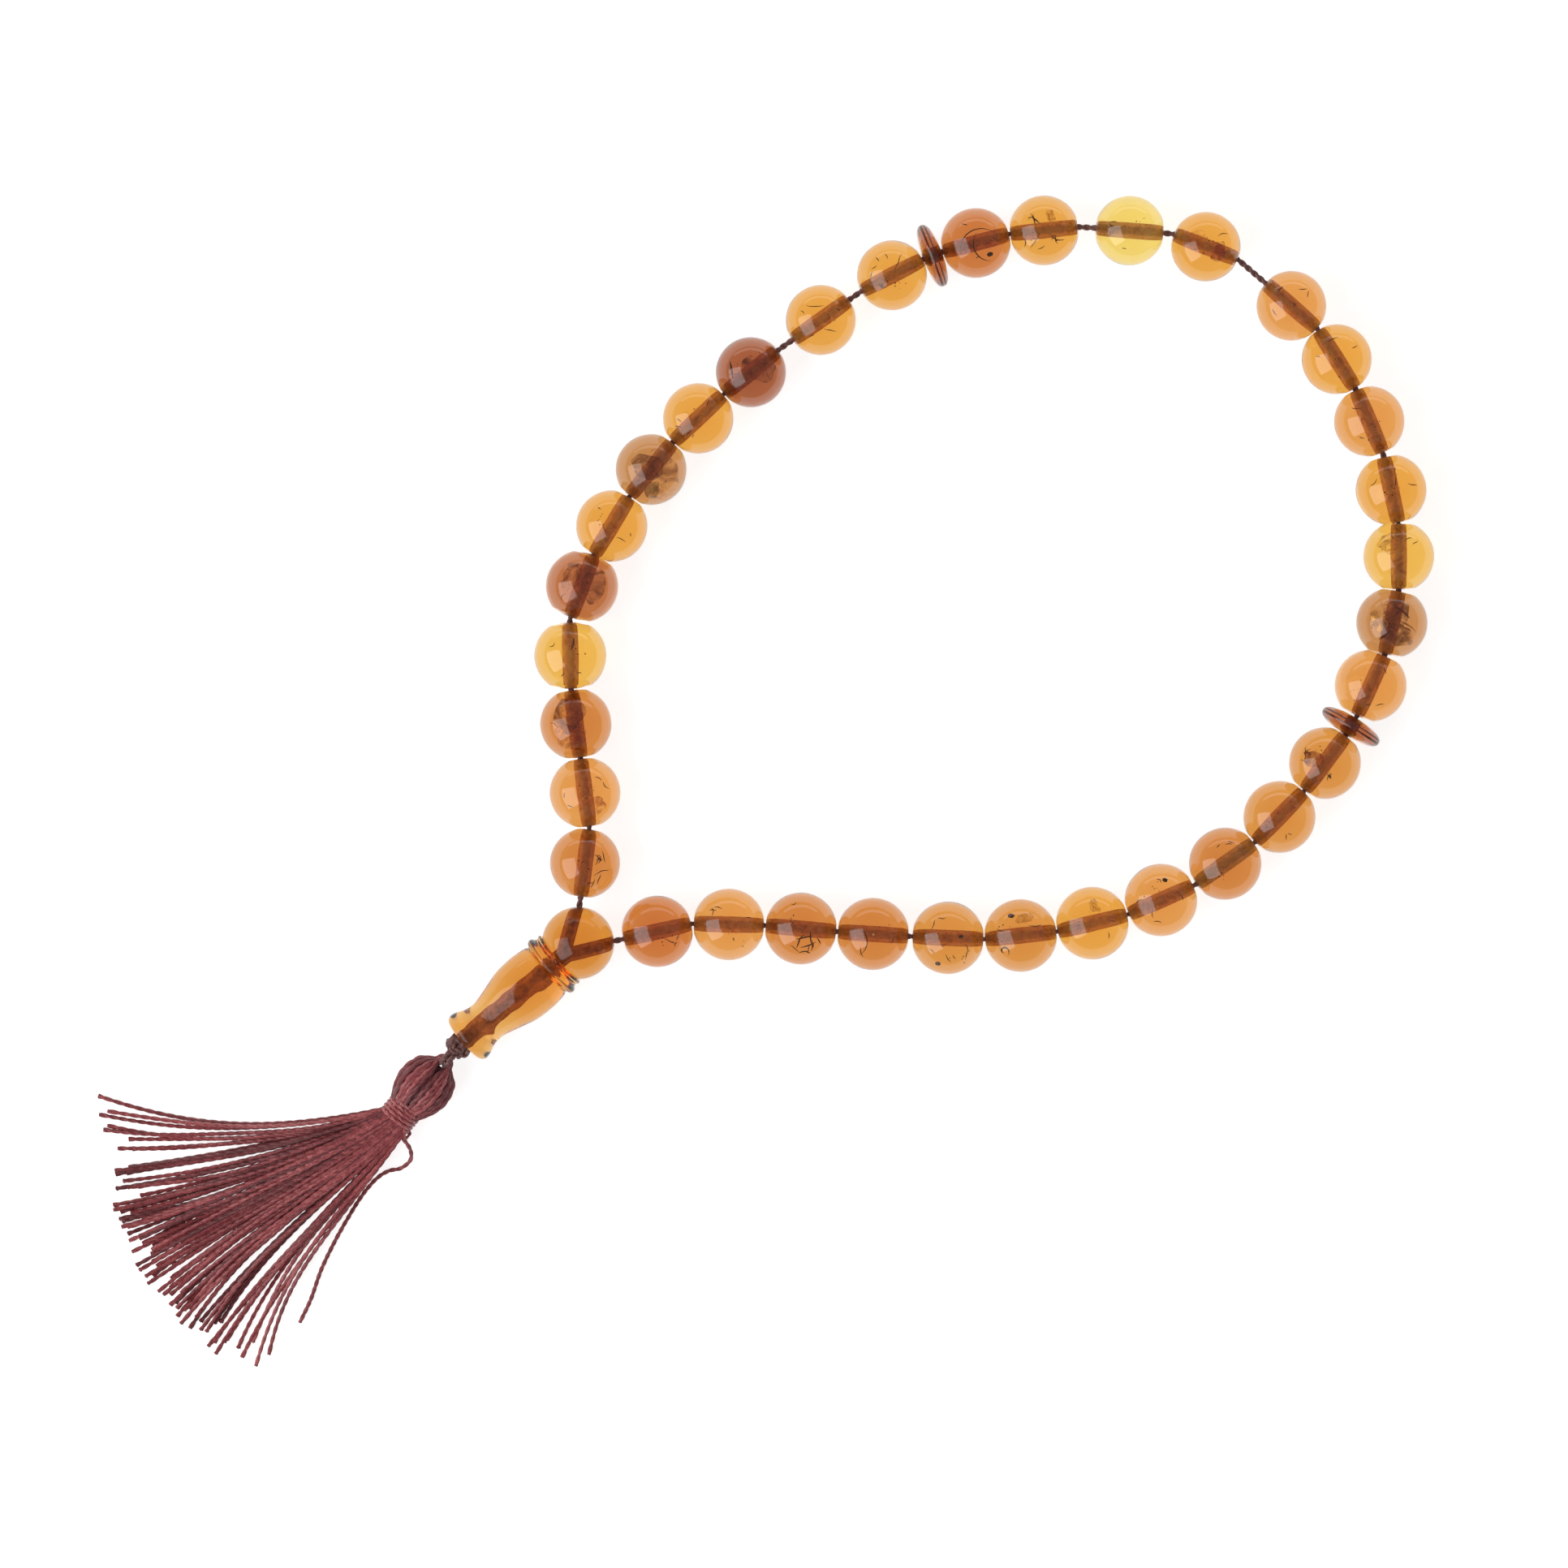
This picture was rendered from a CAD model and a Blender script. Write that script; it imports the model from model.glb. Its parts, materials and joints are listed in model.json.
import json
import math
import random

import bmesh
import bpy
import numpy as np
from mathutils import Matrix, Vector, noise

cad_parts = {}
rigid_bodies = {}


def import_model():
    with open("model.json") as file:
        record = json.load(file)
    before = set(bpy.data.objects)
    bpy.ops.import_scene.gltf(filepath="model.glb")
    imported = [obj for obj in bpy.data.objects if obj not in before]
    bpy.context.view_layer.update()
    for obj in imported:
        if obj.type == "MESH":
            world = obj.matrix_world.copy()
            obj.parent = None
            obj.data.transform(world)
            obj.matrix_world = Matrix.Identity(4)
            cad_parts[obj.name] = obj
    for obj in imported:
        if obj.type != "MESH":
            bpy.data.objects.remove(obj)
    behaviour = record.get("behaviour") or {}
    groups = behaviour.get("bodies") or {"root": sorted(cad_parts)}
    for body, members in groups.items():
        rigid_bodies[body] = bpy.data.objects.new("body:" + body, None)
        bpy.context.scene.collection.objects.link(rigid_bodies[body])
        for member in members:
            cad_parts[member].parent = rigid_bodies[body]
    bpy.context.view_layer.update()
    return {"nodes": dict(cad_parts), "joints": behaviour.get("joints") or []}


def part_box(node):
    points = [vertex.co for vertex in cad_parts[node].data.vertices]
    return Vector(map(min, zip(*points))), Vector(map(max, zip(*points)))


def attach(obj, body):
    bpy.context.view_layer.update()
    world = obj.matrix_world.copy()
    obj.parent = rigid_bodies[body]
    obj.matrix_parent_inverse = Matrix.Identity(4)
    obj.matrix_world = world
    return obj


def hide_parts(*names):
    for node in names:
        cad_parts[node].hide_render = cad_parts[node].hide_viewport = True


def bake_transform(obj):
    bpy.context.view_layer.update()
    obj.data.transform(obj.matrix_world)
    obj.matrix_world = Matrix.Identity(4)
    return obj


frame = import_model()
MM = 0.001
JOINTS = {j["name"]: j for j in frame["joints"]}
UP = np.array([0.0, 0.0, 1.0])


# ---------------------------------------------------------------- camera and lights
def make_camera(middle, width, distance):
    data = bpy.data.cameras.new("Camera")
    data.sensor_width = 36
    data.lens = 36 * distance / width
    data.clip_start, data.clip_end = 0.01, 20
    cam = bpy.data.objects.new("Camera", data)
    cam.location = (middle[0], middle[1], distance)
    bpy.context.scene.collection.objects.link(cam)
    bpy.context.scene.camera = cam


def area_light(name, at, aim, size, power, colour=(1, 1, 1)):
    data = bpy.data.lights.new(name, "AREA")
    data.shape = "RECTANGLE"
    data.size, data.size_y = size
    data.energy = power
    data.color = colour
    lamp = bpy.data.objects.new(name, data)
    lamp.location = at
    lamp.rotation_euler = (Vector(aim) - Vector(at)).to_track_quat("-Z", "Y").to_euler()
    bpy.context.scene.collection.objects.link(lamp)


make_camera((0.00302, -0.00023), 0.2247 * 0.995, 1.0)


# ---------------------------------------------------------------- mesh helpers
def unit(v):
    v = np.asarray(v, float)
    return v / np.linalg.norm(v)


def smooth_path(points, step):
    """Catmull-Rom through the points, with samples about one step apart."""
    p = np.array([points[0], *points, points[-1]], float)
    p[0] = 2 * p[1] - p[2]
    p[-1] = 2 * p[-2] - p[-3]
    out = []
    for i in range(1, len(p) - 2):
        n = max(1, round(np.linalg.norm(p[i + 1] - p[i]) / step))
        for t in np.arange(n) / n:
            out.append(0.5 * (2 * p[i] + (p[i + 1] - p[i - 1]) * t
                              + (2 * p[i - 1] - 5 * p[i] + 4 * p[i + 1] - p[i + 2]) * t**2
                              + (3 * p[i] - p[i - 1] - 3 * p[i + 1] + p[i + 2]) * t**3))
    out.append(p[-2])
    return np.array(out)


def even_path(points, step):
    """The same line with its samples evenly spaced."""
    p = np.asarray(points, float)
    s = arc(p)
    n = max(2, round(s[-1] / step) + 1)
    t = np.linspace(0, s[-1], n)
    return np.stack([np.interp(t, s, p[:, k]) for k in range(3)], 1)


def arc(p):
    return np.concatenate([[0], np.cumsum(np.linalg.norm(np.diff(p, axis=0), axis=1))])


def frames(p, hint=UP):
    """Directions along a path, and two directions across it that don't twist."""
    t = np.gradient(p, axis=0)
    t /= np.linalg.norm(t, axis=1)[:, None]
    a = np.zeros_like(t)
    h = np.asarray(hint, float)
    if abs(h @ t[0]) > 0.95:
        h = np.array([0.31, 0.83, 0.46])
    a[0] = unit(h - (h @ t[0]) * t[0])
    for i in range(1, len(p)):
        v = a[i - 1] - (a[i - 1] @ t[i]) * t[i]
        a[i] = v / np.linalg.norm(v)
    return t, a, np.cross(t, a)


def tube(p, r, sides=8, hint=UP):
    """A closed tube along a path. Its radius may change along the way."""
    p = np.asarray(p, float)
    r = np.broadcast_to(r, len(p))
    _, a, b = frames(p, hint)
    w = np.arange(sides) * 2 * np.pi / sides
    ring = (a[:, None] * np.cos(w)[None, :, None] + b[:, None] * np.sin(w)[None, :, None])
    v = (p[:, None] + ring * r[:, None, None]).reshape(-1, 3)
    i = np.arange(len(p) - 1)[:, None] * sides
    k = np.arange(sides)[None]
    n = (k + 1) % sides
    f = np.stack([i + k, i + n, i + sides + n, i + sides + k], -1).reshape(-1, 4)
    last = (len(p) - 1) * sides
    ends = [[0, *range(sides - 1, 0, -1)], list(range(last, last + sides))]
    return v, f.tolist() + ends


def merged(parts):
    verts, faces, n = [], [], 0
    for v, f in parts:
        verts.append(np.asarray(v))
        faces += [[i + n for i in face] for face in f]
        n += len(v)
    return np.concatenate(verts), faces


def plied(p, d, pitch, plies=2, sides=7, phase=0.0, hint=UP, taper=None, lobe=0.14):
    """A twisted cord along a path: its plies wind round each other."""
    p = np.asarray(p, float)
    s = arc(p)
    _, a, b = frames(p, hint)
    off = d * lobe
    ply_r = d / 2 - off
    scale = np.ones(len(p)) if taper is None else taper
    out = []
    for k in range(plies):
        w = phase + s * 2 * np.pi / pitch + k * 2 * np.pi / plies
        q = p + (a * np.cos(w)[:, None] + b * np.sin(w)[:, None]) * (off * scale)[:, None]
        out.append(tube(q, ply_r * scale, sides, hint))
    return merged(out)


def face_outwards(mesh):
    bm = bmesh.new()
    bm.from_mesh(mesh)
    bmesh.ops.recalc_face_normals(bm, faces=bm.faces)
    bm.to_mesh(mesh)
    bm.free()


def add_object(name, body, mesh_parts, materials, marks=None, replaces=(), sharp=40):
    v, f = mesh_parts
    mesh = bpy.data.meshes.new(name)
    mesh.from_pydata([tuple(x) for x in v], [], f)
    for m in materials:
        mesh.materials.append(m)
    if marks is not None:
        mesh.polygons.foreach_set("material_index", marks)
    face_outwards(mesh)
    mesh.polygons.foreach_set("use_smooth", [True] * len(mesh.polygons))
    mesh.set_sharp_from_angle(angle=math.radians(sharp))
    mesh.update()
    obj = bpy.data.objects.new(name, mesh)
    bpy.context.scene.collection.objects.link(obj)
    if replaces:
        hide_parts(*replaces)
    if body:
        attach(obj, body)
    return obj


def lathe(profile, at, axis, up=UP, turns=96, wobble=None):
    """A closed ring of profile points (along the axis, out from it) turned round the axis."""
    axis = unit(axis)
    side = unit(np.cross(up, axis))
    up = np.cross(axis, side)
    w = np.arange(turns) * 2 * np.pi / turns
    rim = side[None] * np.cos(w)[:, None] + up[None] * np.sin(w)[:, None]
    z = np.array([q[0] for q in profile])
    r = np.array([q[1] for q in profile])
    v = axis * z[None, :, None] + rim[:, None] * r[None, :, None]
    if wobble:
        for j in range(turns):
            for i in range(len(profile)):
                v[j, i] *= wobble(v[j, i])
    n = len(profile)
    f = []
    for j in range(turns):
        k = (j + 1) % turns
        for i in range(n):
            h = (i + 1) % n
            f.append([j * n + i, j * n + h, k * n + h, k * n + i])
    return np.asarray(at) + v.reshape(-1, 3), f


# ---------------------------------------------------------------- materials
class Nodes:
    """A short way to write a material's nodes."""

    def __init__(self, name):
        self.mat = bpy.data.materials.new(name)
        self.mat.use_nodes = True
        self.tree = self.mat.node_tree
        self.tree.nodes.clear()
        self.out = self.add("ShaderNodeOutputMaterial")

    def add(self, kind, inputs=None, **settings):
        node = self.tree.nodes.new(kind)
        for k, v in settings.items():
            setattr(node, k, v)
        for k, v in (inputs or {}).items():
            if isinstance(v, bpy.types.NodeSocket):
                self.tree.links.new(v, node.inputs[k])
            else:
                node.inputs[k].default_value = v
        return node

    def coords(self, scale=(1, 1, 1)):
        c = self.add("ShaderNodeTexCoord")
        m = self.add("ShaderNodeMapping", {"Vector": c.outputs["Object"], "Scale": scale})
        return m.outputs[0]

    def noise(self, scale, detail=4.0, rough=0.55, at=None, distort=0.0):
        n = self.add("ShaderNodeTexNoise", {"Vector": at or self.coords(), "Scale": scale,
                     "Detail": detail, "Roughness": rough, "Distortion": distort})
        return n.outputs["Fac"]

    def ramp(self, value, stops):
        r = self.add("ShaderNodeValToRGB", {"Fac": value})
        e = r.color_ramp.elements
        while len(e) < len(stops):
            e.new(0.5)
        for el, (p, c) in zip(e, stops):
            el.position = p
            el.color = (*c, 1) if len(c) == 3 else c
        return r.outputs["Color"]

    def span(self, value, lo, hi):
        m = self.add("ShaderNodeMapRange", {"Value": value, "To Min": lo, "To Max": hi})
        return m.outputs[0]

    def bump(self, height, strength, distance):
        b = self.add("ShaderNodeBump", {"Height": height, "Strength": strength,
                     "Distance": distance})
        return b.outputs[0]

    def finish(self, surface, volume=None):
        self.tree.links.new(surface, self.out.inputs["Surface"])
        if volume is not None:
            self.tree.links.new(volume, self.out.inputs["Volume"])
        return self.mat


def srgb(r, g, b):
    def lin(c):
        c /= 255
        return c / 12.92 if c <= 0.04045 else ((c + 0.055) / 1.055) ** 2.4
    return (lin(r), lin(g), lin(b))


def amber(name, through, haze=0.0, seed=0, ior=1.54):
    """Amber glass. through is the colour of white light after 10 mm of it."""
    n = Nodes(name)
    per_m = [-math.log(max(c, 1e-3)) / 0.01 for c in through]
    density = max(per_m) / 0.97
    at = n.coords()
    shift = n.add("ShaderNodeVectorMath", {0: at, 1: (seed * 0.013, seed * 0.007, 0)},
                  operation="ADD").outputs[0]
    polish = n.noise(260, 5, 0.6, shift)
    scratch = n.noise(900, 3, 0.7, n.coords((1, 6, 1)))
    tint = n.ramp(n.noise(190, 3, 0.6, shift, 0.6),
                  [(0.3, (1, 0.985, 0.95)), (0.7, (1, 0.94, 0.86))])
    p = n.add("ShaderNodeBsdfPrincipled", {
        "Base Color": tint, "Roughness": n.span(polish, 0.0 + haze, 0.07 + haze),
        "IOR": ior, "Transmission Weight": 1.0,
        "Normal": n.bump(scratch, 0.05, 0.00002)})
    v = n.add("ShaderNodeVolumeAbsorption", {
        "Color": (*[1 - s / density for s in per_m], 1), "Density": density})
    return n.finish(p.outputs[0], v.outputs[0])


def bored(name, light, dark, streak=900):
    """The rough drilled wall of a hole, seen through the amber."""
    n = Nodes(name)
    c = n.ramp(n.noise(streak, 6, 0.7, n.coords((1, 1, 1)), 0.8),
               [(0.32, dark), (0.5, light), (0.72, tuple(min(1, x * 1.35) for x in light))])
    b = n.bump(n.noise(2600, 3, 0.6), 0.5, 0.00008)
    d = n.add("ShaderNodeBsdfDiffuse", {"Color": c, "Normal": b})
    t = n.add("ShaderNodeBsdfTranslucent", {"Color": c, "Normal": b})
    m = n.add("ShaderNodeMixShader", {0: 0.5, 1: d.outputs[0], 2: t.outputs[0]})
    clear = n.add("ShaderNodeBsdfTransparent", {"Color": (1, 0.8, 0.7, 1)})
    m = n.add("ShaderNodeMixShader", {0: 0.3, 1: m.outputs[0], 2: clear.outputs[0]})
    return n.finish(m.outputs[0])


def fibre(name, dark, mid, light, rough=0.55, sheen=0.3, scale=1500):
    """Twisted silk or cotton with fine fibres along it."""
    n = Nodes(name)
    soft = n.noise(240, 3, 0.5)
    fine = n.noise(scale, 6, 0.75, None, 1.2)
    both = n.add("ShaderNodeMath", {0: soft, 1: fine}, operation="MULTIPLY_ADD")
    both.inputs[1].default_value = 0.5
    n.tree.links.new(fine, both.inputs[2])
    c = n.ramp(n.span(both.outputs[0], 0.0, 1.0), [(0.45, dark), (0.72, mid), (1.0, light)])
    p = n.add("ShaderNodeBsdfPrincipled", {
        "Base Color": c, "Roughness": n.span(fine, rough - 0.12, rough + 0.15),
        "Sheen Weight": sheen, "Sheen Roughness": 0.4,
        "Normal": n.bump(fine, 0.35, 0.00005)})
    return n.finish(p.outputs[0])


def tinted(parts, picks):
    """Which silk each face takes, from one pick per strand."""
    return np.repeat(picks, [len(f) for _, f in parts]).tolist()


def speck(name, colour, rough=0.5, vary=0.6):
    n = Nodes(name)
    c = n.ramp(n.noise(3000, 4, 0.6), [(0.3, tuple(x * vary for x in colour)), (0.7, colour)])
    p = n.add("ShaderNodeBsdfPrincipled", {"Base Color": c, "Roughness":
              n.span(n.noise(5000), rough - 0.1, rough + 0.2)})
    return n.finish(p.outputs[0])


def veil(name, colour, cover, scale, glow=0.5, gloss=0.0):
    """A cloudy sheet inside the amber: noise decides where it hides what is behind it."""
    n = Nodes(name)
    shape = n.noise(scale, 5, 0.62, None, 1.6)
    fine = n.noise(scale * 5, 4, 0.7)
    c = n.ramp(fine, [(0.3, tuple(x * 0.55 for x in colour)), (0.7, colour)])
    d = n.add("ShaderNodeBsdfDiffuse", {"Color": c})
    t = n.add("ShaderNodeBsdfTranslucent", {"Color": c})
    body = n.add("ShaderNodeMixShader", {0: glow, 1: d.outputs[0], 2: t.outputs[0]})
    if gloss:
        g = n.add("ShaderNodeBsdfAnisotropic", {"Color": (1, 0.85, 0.5, 1),
                  "Roughness": 0.25})
        body = n.add("ShaderNodeMixShader", {0: gloss, 1: body.outputs[0], 2: g.outputs[0]})
    clear = n.add("ShaderNodeBsdfTransparent")
    top = (0.8, 0.8, 0.8) if not gloss else (0.9, 0.9, 0.9)
    a = n.ramp(shape, [(0.55 - cover * 0.3, (0, 0, 0)), (0.62 + (1 - cover) * 0.3, top)])
    m = n.add("ShaderNodeMixShader", {0: a, 1: clear.outputs[0], 2: body.outputs[0]})
    return n.finish(m.outputs[0])


# Shades of amber, as the colour of white light after 10 mm, and the one each bead has
SHADES = {"lemon": (0.97, 0.75, 0.17), "gold": (0.92, 0.55, 0.09),
          "honey": (0.88, 0.43, 0.06), "amber": (0.84, 0.38, 0.08),
          "orange": (0.78, 0.34, 0.06), "copper": (0.72, 0.27, 0.05),
          "red": (0.67, 0.21, 0.04), "rust": (0.56, 0.18, 0.05),
          "dark": (0.42, 0.11, 0.035), "brown": (0.62, 0.28, 0.08)}
BEAD_SHADES = [
    "copper", "amber", "copper", "gold", "rust", "honey", "brown", "honey", "dark",
    "honey", "honey",
    "red", "honey", "lemon", "honey", "amber", "honey", "amber", "honey", "gold",
    "brown", "amber",
    "orange", "orange", "copper", "amber", "honey", "orange", "orange", "copper",
    "copper", "amber", "red"]
AMBER_DISC = amber("amber_disc", (0.42, 0.11, 0.035), 0.01, 5)
BORE = bored("bore_wall", (0.98, 0.62, 0.42), (0.66, 0.34, 0.22))
BORE_GREY = bored("bore_wall_grey", (0.95, 0.85, 0.62), (0.6, 0.5, 0.36))
BORE_DARK = bored("bore_wall_dark", (0.72, 0.36, 0.25), (0.4, 0.17, 0.12))
CORD = fibre("cord_fibre", srgb(62, 35, 34), srgb(104, 64, 60), srgb(148, 104, 98))
SILKS = [fibre("silk_mid", srgb(92, 34, 37), srgb(136, 56, 60), srgb(170, 88, 90), 0.42, 0.15),
         fibre("silk_deep", srgb(76, 28, 31), srgb(106, 44, 48), srgb(138, 68, 72), 0.5, 0.12),
         fibre("silk_light", srgb(116, 46, 50), srgb(156, 70, 74), srgb(190, 108, 108), 0.4, 0.2)]
SPECKS = {"black": speck("speck_black", srgb(42, 24, 18)),
          "brown": speck("speck_brown", srgb(96, 50, 26)),
          "pale": speck("speck_pale", srgb(240, 222, 190), 0.35, 0.85),
          "gold": speck("speck_gold", srgb(250, 206, 110), 0.25, 0.8)}
VEILS = {"brown": veil("veil_brown", (0.42, 0.13, 0.045), 0.62, 420, 0.6),
         "red": veil("veil_red", (0.62, 0.16, 0.05), 0.58, 520, 0.6),
         "mauve": veil("veil_mauve", (0.5, 0.2, 0.13), 0.6, 420, 0.6),
         "green": veil("veil_green", (0.62, 0.60, 0.18), 0.5, 500, 0.6),
         "orange": veil("veil_orange", (0.95, 0.42, 0.10), 0.55, 380, 0.6),
         "flash": veil("veil_flash", (1.0, 0.78, 0.25), 0.62, 900, 0.4, 0.5)}

# ---------------------------------------------------------------- the beads
COUNT, GROUP = 33, 11
ITEMS = [f"bead_{k:02d}" for k in range(1, COUNT + 1)]
ITEMS.insert(GROUP, "disc_1")
ITEMS.insert(2 * GROUP + 1, "disc_2")


def placed(name):
    """Middle, direction of the bore, radius and half length of a bead or disc."""
    j = JOINTS.get("spin_" + name) or JOINTS["slide_" + name]
    axis = unit(j["axis"])
    lo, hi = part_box(name)
    at = np.array((lo + hi) / 2)
    v = np.array([x.co for x in frame["nodes"][name].data.vertices]) - at
    z = v @ axis
    r = np.linalg.norm(v - z[:, None] * axis, axis=1)
    return {"at": at, "axis": axis, "r": r.max(), "half": abs(z).max(),
            "link": j["parent"]}


PLACE = {n: placed(n) for n in ITEMS}
BORE_R = 0.75 * MM
WORN = {"bead_04": 13, "bead_05": 13}


def outline(r, half, disc, wear):
    """Profile of a bead or disc, from one mouth over the outside to the other, and back
    down the bore. Also how many of its points are on the outside. wear is the slope of
    its worn ends, in degrees."""
    if disc:
        a = np.radians(np.linspace(-90, 90, 61))
        z = half * np.sign(a) * abs(np.sin(a)) ** (2 / 2.4)
        q = r * np.cos(a) ** (2 / 2.4)
        keep = q > BORE_R + 0.15 * MM
        z, q = z[keep], q[keep]
    else:
        a = np.linspace(0.197, math.pi - 0.197, 72)
        z, q = -r * np.cos(a), r * np.sin(a)
        slope = math.tan(math.radians(wear))
        top = half - (q - 0.95 * MM) * slope
        k = 0.06 * MM
        gap = np.clip(0.5 + 0.5 * (top - abs(z)) / k, 0, 1)
        near = abs(z) * gap + top * (1 - gap) - k * gap * (1 - gap)
        z = np.sign(z) * near
        z = np.concatenate([[-near[0] + 0.02 * MM], z, [near[-1] - 0.02 * MM]])
        q = np.concatenate([[0.93 * MM], q, [0.93 * MM]])
    outside = len(z)
    end = abs(z[0])
    inner = np.linspace(end - 0.2 * MM, -(end - 0.2 * MM), 14)
    z = np.concatenate([z, inner])
    q = np.concatenate([q, np.full(len(inner), BORE_R)])
    return list(zip(z, q)), outside


def blob(at, r, seed, squash=(1, 1, 1), detail=2):
    """A small lumpy closed mesh."""
    bm = bmesh.new()
    bmesh.ops.create_icosphere(bm, subdivisions=detail, radius=1)
    v = []
    for x in bm.verts:
        k = 1 + 0.45 * noise.noise(x.co * 1.3 + Vector((seed, seed * 0.7, 0)))
        v.append(np.array(x.co) * k * np.array(squash) * r + at)
    f = [[p.index for p in face.verts] for face in bm.faces]
    bm.free()
    return np.array(v), f


def hair(rng, at, length, r, bend=0.5, turn=None):
    """A fine curved thread in the amber, tapered at both ends."""
    a = rng.uniform(0, 2 * math.pi) if turn is None else math.radians(turn)
    p = [np.array(at, float)]
    d = np.array([math.cos(a), math.sin(a), rng.uniform(-0.3, 0.3)])
    for _ in range(6):
        a += rng.uniform(-bend, bend)
        d = 0.5 * d + 0.5 * np.array([math.cos(a), math.sin(a), rng.uniform(-0.3, 0.3)])
        p.append(p[-1] + unit(d) * length / 6)
    p = smooth_path(p, length / 18)
    p += at - p[len(p) // 2]
    w = np.linspace(0, 1, len(p))
    return tube(p, r * (0.25 + 0.75 * np.sin(np.pi * w)), 6)


def patch(rng, at, size, tilt, seed, stretch=1.0):
    """A thin wavy closed sheet with a ragged edge, such as a cloud or a stress crack."""
    rings, spokes = 9, 30
    a = rng.uniform(0, 2 * math.pi)
    n = unit([math.sin(tilt) * math.cos(a), math.sin(tilt) * math.sin(a), math.cos(tilt)])
    u = unit(np.cross(n, [0.3, 0.9, 0.1]))
    w = np.cross(n, u)
    top, low = [], []
    for i in range(rings + 1):
        for k in range(spokes):
            t = 2 * math.pi * k / spokes
            e = 1 + 0.35 * noise.noise(Vector((math.cos(t) * 1.5, math.sin(t) * 1.5, seed)))
            r = size * i / rings * e
            x, y = r * math.cos(t) * stretch, r * math.sin(t) / stretch
            h = size * 0.22 * noise.noise(Vector((x / size * 1.4, y / size * 1.4, seed + 5)))
            q = at + x * u + y * w + h * n
            thick = 0.02 * MM * (1 - i / rings) + 0.002 * MM
            top.append(q + n * thick)
            low.append(q - n * thick)
    m = (rings + 1) * spokes
    f = []
    for i in range(rings):
        for k in range(spokes):
            h = (k + 1) % spokes
            a0, a1, b0, b1 = i * spokes + k, i * spokes + h, (i + 1) * spokes + k, \
                (i + 1) * spokes + h
            f += [[a0, b0, b1, a1], [m + a0, m + a1, m + b1, m + b0]]
    for k in range(spokes):
        h = (k + 1) % spokes
        e = rings * spokes
        f.append([e + k, m + e + k, m + e + h, e + h])
    return np.array(top + low), f


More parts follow.
